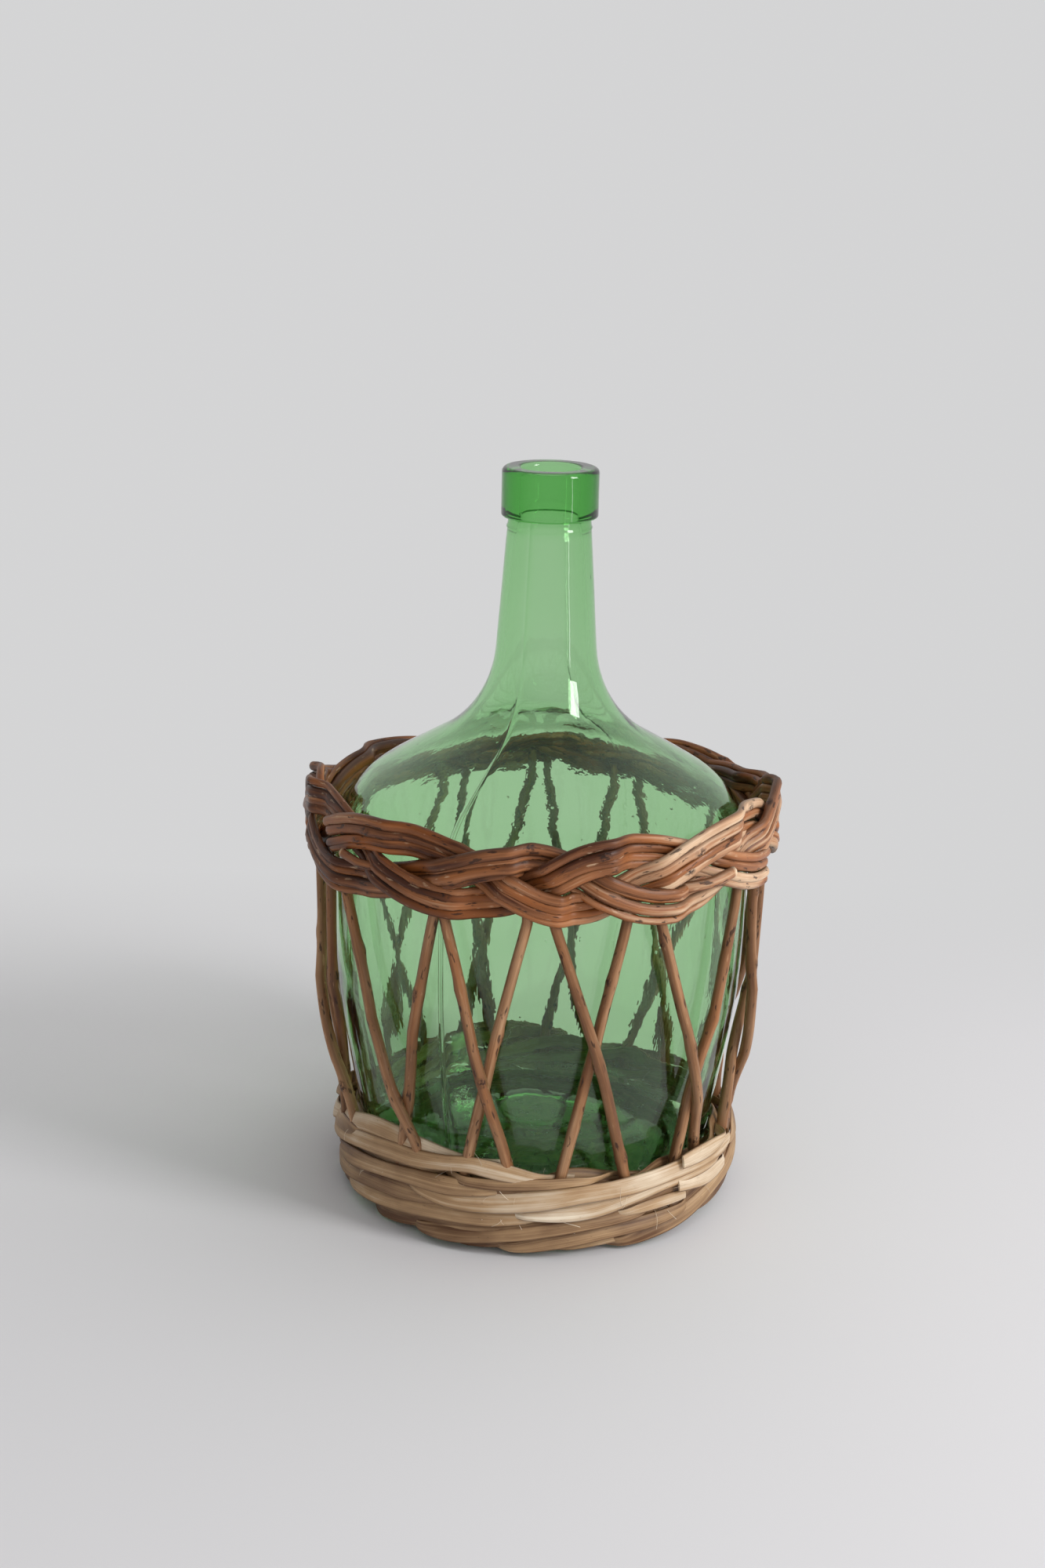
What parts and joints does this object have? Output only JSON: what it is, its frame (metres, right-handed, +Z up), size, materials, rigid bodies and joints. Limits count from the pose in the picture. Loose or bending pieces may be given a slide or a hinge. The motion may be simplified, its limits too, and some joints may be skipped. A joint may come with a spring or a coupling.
{
  "type": "wicker demijohn",
  "caption": "Green glass demijohn with a long neck and collared mouth, standing in an open willow basket with crossed stakes, a plaited border and a woven foot; the bottle lifts out.",
  "frame": {"origin": "on the table under the middle of the basket's foot", "axes": "+Z up along the bottle's axis, -Y towards the front of the picture, +X to its right"},
  "size_m": [0.2254, 0.2254, 0.3505],
  "materials": {
    "green_glass": "clear, glossy, slightly wavy",
    "brown_willow": "bare round rod, satin",
    "buff_willow": "bare round rod, satin",
    "pale_skein": "bare split skein, fibrous",
    "peeled_willow": "bare peeled stick, matte"
  },
  "bodies": {
    "basket": {"stake_left_1": "brown_willow", "stake_left_2": "brown_willow", "stake_left_3": "brown_willow", "stake_left_4": "brown_willow", "stake_left_5": "brown_willow", "stake_left_6": "brown_willow", "stake_left_7": "brown_willow", "stake_left_8": "brown_willow", "stake_left_9": "brown_willow", "stake_left_10": "brown_willow", "stake_left_11": "brown_willow", "stake_left_12": "brown_willow", "stake_right_1": "brown_willow", "stake_right_2": "brown_willow", "stake_right_3": "brown_willow", "stake_right_4": "brown_willow", "stake_right_5": "brown_willow", "stake_right_6": "brown_willow", "stake_right_7": "brown_willow", "stake_right_8": "brown_willow", "stake_right_9": "brown_willow", "stake_right_10": "brown_willow", "stake_right_11": "brown_willow", "stake_right_12": "brown_willow", "border_rod_1_1": "buff_willow", "border_rod_1_2": "buff_willow", "border_rod_1_3": "buff_willow", "border_rod_2_1": "buff_willow", "border_rod_2_2": "buff_willow", "border_rod_2_3": "buff_willow", "border_rod_3_1": "buff_willow", "border_rod_3_2": "buff_willow", "border_rod_3_3": "buff_willow", "foot_skein_1": "pale_skein", "foot_skein_2": "pale_skein", "foot_skein_3": "pale_skein", "foot_skein_4": "pale_skein", "foot_skein_5": "pale_skein", "foot_skein_6": "pale_skein", "foot_skein_7": "pale_skein", "foot_skein_8": "pale_skein", "foot_skein_9": "pale_skein", "foot_skein_10": "pale_skein", "foot_skein_11": "pale_skein", "foot_skein_12": "pale_skein", "base_stick_slit_1": "peeled_willow", "base_stick_slit_2": "peeled_willow", "base_stick_slit_3": "peeled_willow", "base_stick_through_1": "peeled_willow", "base_stick_through_2": "peeled_willow", "base_stick_through_3": "peeled_willow", "slath_tie": "pale_skein", "base_weaver_1": "pale_skein", "base_weaver_2": "pale_skein"},
    "bottle": {"bottle": "green_glass"}
  },
  "joints": [
    {"name": "bottle_lift", "type": "slide", "parent": "basket", "child": "bottle", "axis": [0, 0, 1], "range_m": [0, 0.205]}
  ]
}
